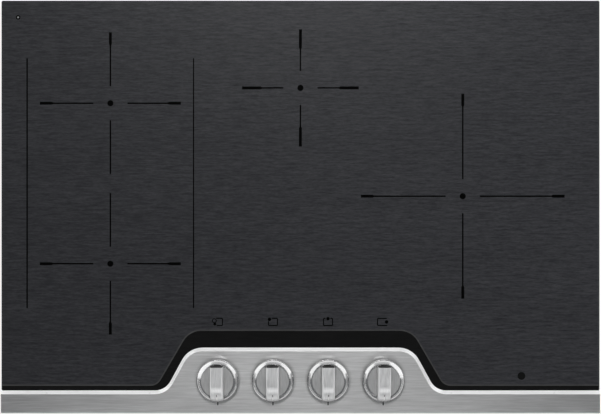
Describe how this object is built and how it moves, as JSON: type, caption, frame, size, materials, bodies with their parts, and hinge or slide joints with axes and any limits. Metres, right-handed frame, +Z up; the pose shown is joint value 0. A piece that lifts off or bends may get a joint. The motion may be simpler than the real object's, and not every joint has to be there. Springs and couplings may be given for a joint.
{
  "type": "induction cooktop",
  "caption": "Drop-in electric induction cooktop: dark glass top, bevelled stainless control trim with push-to-turn knobs, and a sheet burner box with coils, boards and fans.",
  "frame": {"origin": "under the middle of the burner box, on the plane of its flat floor", "axes": "+X to the user's right, +Y to the back, +Z up out of the glass"},
  "size_m": [0.781, 0.538, 0.131],
  "materials": {
    "alloy_sheet": "plain",
    "black_plastic": "moulded",
    "board_green": "solder mask",
    "bright_steel": "plain",
    "can_plastic": "sleeved",
    "choke_wire": "enamelled",
    "copper": "enamelled wire",
    "display_plastic": "dark tinted",
    "ferrite": "sintered",
    "foam": "matt",
    "former_plastic": "moulded",
    "glass": "dark brushed print under satin ceramic glass",
    "knob_chrome": "polished",
    "knob_face": "brushed",
    "lens": "translucent",
    "mica": "pressed sheet",
    "silicone": "matt",
    "stainless": "brushed",
    "wire_sleeve": "silicone sleeve",
    "zinc_sheet": "galvanised"
  },
  "bodies": {
    "cooktop": {"burner_box": "zinc_sheet", "capacitors": "can_plastic", "case_screws": "bright_steel", "chokes": "choke_wire", "clamp_screws": "bright_steel", "coil_former_centre_rear": "former_plastic", "coil_former_left_front": "former_plastic", "coil_former_left_rear": "former_plastic", "coil_former_right": "former_plastic", "coil_leads": "wire_sleeve", "coil_sensors": "black_plastic", "coil_springs": "bright_steel", "coil_tray_left": "alloy_sheet", "coil_tray_right": "alloy_sheet", "conduit_bushing": "black_plastic", "control_ribbon": "wire_sleeve", "control_trim": "stainless", "encoders": "black_plastic", "fan_frame_left": "black_plastic", "fan_frame_right": "black_plastic", "ferrite_bars": "ferrite", "filter_board": "board_green", "generator_board_left": "board_green", "generator_board_right": "board_green", "glass_top": "glass", "heatsink_left": "alloy_sheet", "heatsink_right": "alloy_sheet", "hold_down_brackets": "zinc_sheet", "indicator_lens": "lens", "interface_board": "board_green", "knob_bracket": "zinc_sheet", "level_displays": "display_plastic", "mains_wires": "wire_sleeve", "mica_discs": "mica", "power_transistors": "black_plastic", "rim_gasket": "foam", "shaft_seals": "silicone", "terminal_block": "black_plastic", "winding_centre_rear": "copper", "winding_left_front": "copper", "winding_left_rear": "copper", "winding_right": "copper"},
    "shaft_1": {"knob_shaft_1": "bright_steel", "return_spring_1": "bright_steel"},
    "knob_1": {"knob_cap_1": "knob_face", "knob_skirt_1": "knob_chrome"},
    "shaft_2": {"knob_shaft_2": "bright_steel", "return_spring_2": "bright_steel"},
    "knob_2": {"knob_cap_2": "knob_face", "knob_skirt_2": "knob_chrome"},
    "shaft_3": {"knob_shaft_3": "bright_steel", "return_spring_3": "bright_steel"},
    "knob_3": {"knob_cap_3": "knob_face", "knob_skirt_3": "knob_chrome"},
    "shaft_4": {"knob_shaft_4": "bright_steel", "return_spring_4": "bright_steel"},
    "knob_4": {"knob_cap_4": "knob_face", "knob_skirt_4": "knob_chrome"},
    "rotor_left": {"fan_rotor_left": "black_plastic"},
    "rotor_right": {"fan_rotor_right": "black_plastic"}
  },
  "joints": [
    {"name": "knob_1_turn", "type": "hinge", "parent": "cooktop", "child": "shaft_1", "pos_m": [-0.10755, -0.2252, 0.1025], "axis": [0, 0, 1], "range_deg": [-300, 0]},
    {"name": "knob_1_push", "type": "slide", "parent": "shaft_1", "child": "knob_1", "axis": [0, 0, -1], "range_m": [0, 0.0025], "stiffness_N_per_m": 700, "springref_m": -0.004, "deforming": ["return_spring_1"]},
    {"name": "knob_2_turn", "type": "hinge", "parent": "cooktop", "child": "shaft_2", "pos_m": [-0.03585, -0.2252, 0.1025], "axis": [0, 0, 1], "range_deg": [-300, 0]},
    {"name": "knob_2_push", "type": "slide", "parent": "shaft_2", "child": "knob_2", "axis": [0, 0, -1], "range_m": [0, 0.0025], "stiffness_N_per_m": 700, "springref_m": -0.004, "deforming": ["return_spring_2"]},
    {"name": "knob_3_turn", "type": "hinge", "parent": "cooktop", "child": "shaft_3", "pos_m": [0.03585, -0.2252, 0.1025], "axis": [0, 0, 1], "range_deg": [-300, 0]},
    {"name": "knob_3_push", "type": "slide", "parent": "shaft_3", "child": "knob_3", "axis": [0, 0, -1], "range_m": [0, 0.0025], "stiffness_N_per_m": 700, "springref_m": -0.004, "deforming": ["return_spring_3"]},
    {"name": "knob_4_turn", "type": "hinge", "parent": "cooktop", "child": "shaft_4", "pos_m": [0.10755, -0.2252, 0.1025], "axis": [0, 0, 1], "range_deg": [-300, 0]},
    {"name": "knob_4_push", "type": "slide", "parent": "shaft_4", "child": "knob_4", "axis": [0, 0, -1], "range_m": [0, 0.0025], "stiffness_N_per_m": 700, "springref_m": -0.004, "deforming": ["return_spring_4"]},
    {"name": "fan_left_spin", "type": "hinge", "parent": "cooktop", "child": "rotor_left", "pos_m": [-0.248, -0.115, 0.018], "axis": [0, 0, 1], "continuous": true},
    {"name": "fan_right_spin", "type": "hinge", "parent": "cooktop", "child": "rotor_right", "pos_m": [0.2, -0.115, 0.018], "axis": [0, 0, 1], "continuous": true}
  ]
}
